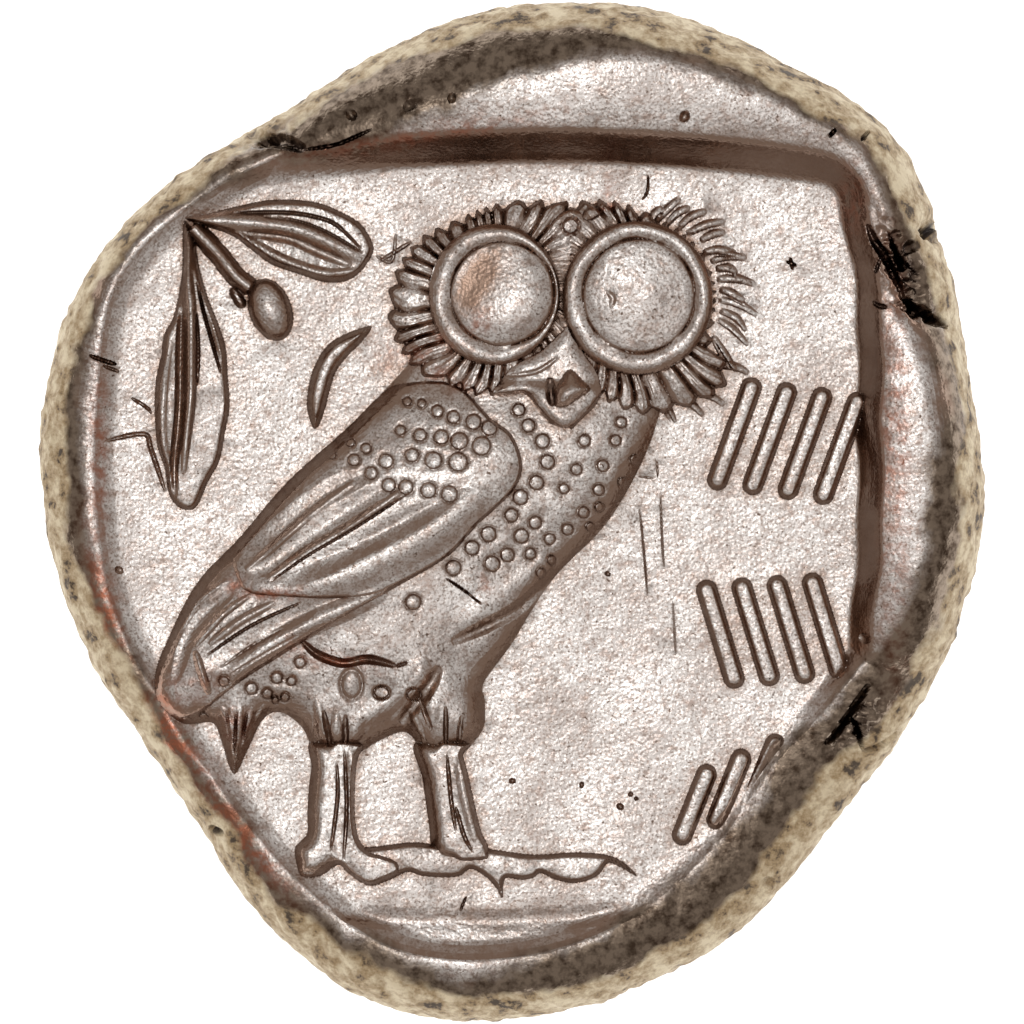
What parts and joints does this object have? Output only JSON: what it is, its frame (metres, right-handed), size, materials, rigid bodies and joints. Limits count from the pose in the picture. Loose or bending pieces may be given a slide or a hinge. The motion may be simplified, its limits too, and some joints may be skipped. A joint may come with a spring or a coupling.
{
  "type": "tetradrachm coin",
  "caption": "Thick struck silver coin lying owl side up: an owl, olive spray and crescent stand in a square die mark, with a helmeted head on the domed underside.",
  "frame": {"origin": "middle of the bounding box, on the surface that the coin lies on", "axes": "+Z out of the owl side, +Y from the owl's feet towards its head, +X to the right of the owl side"},
  "size_m": [0.0236, 0.0254, 0.0058],
  "materials": {
    "toned_silver": "struck silver, bright on the high flats, brown in the hollows, with earthy deposit around the edge"
  },
  "bodies": {
    "root": {"struck_flan": "toned_silver"}
  },
  "joints": []
}
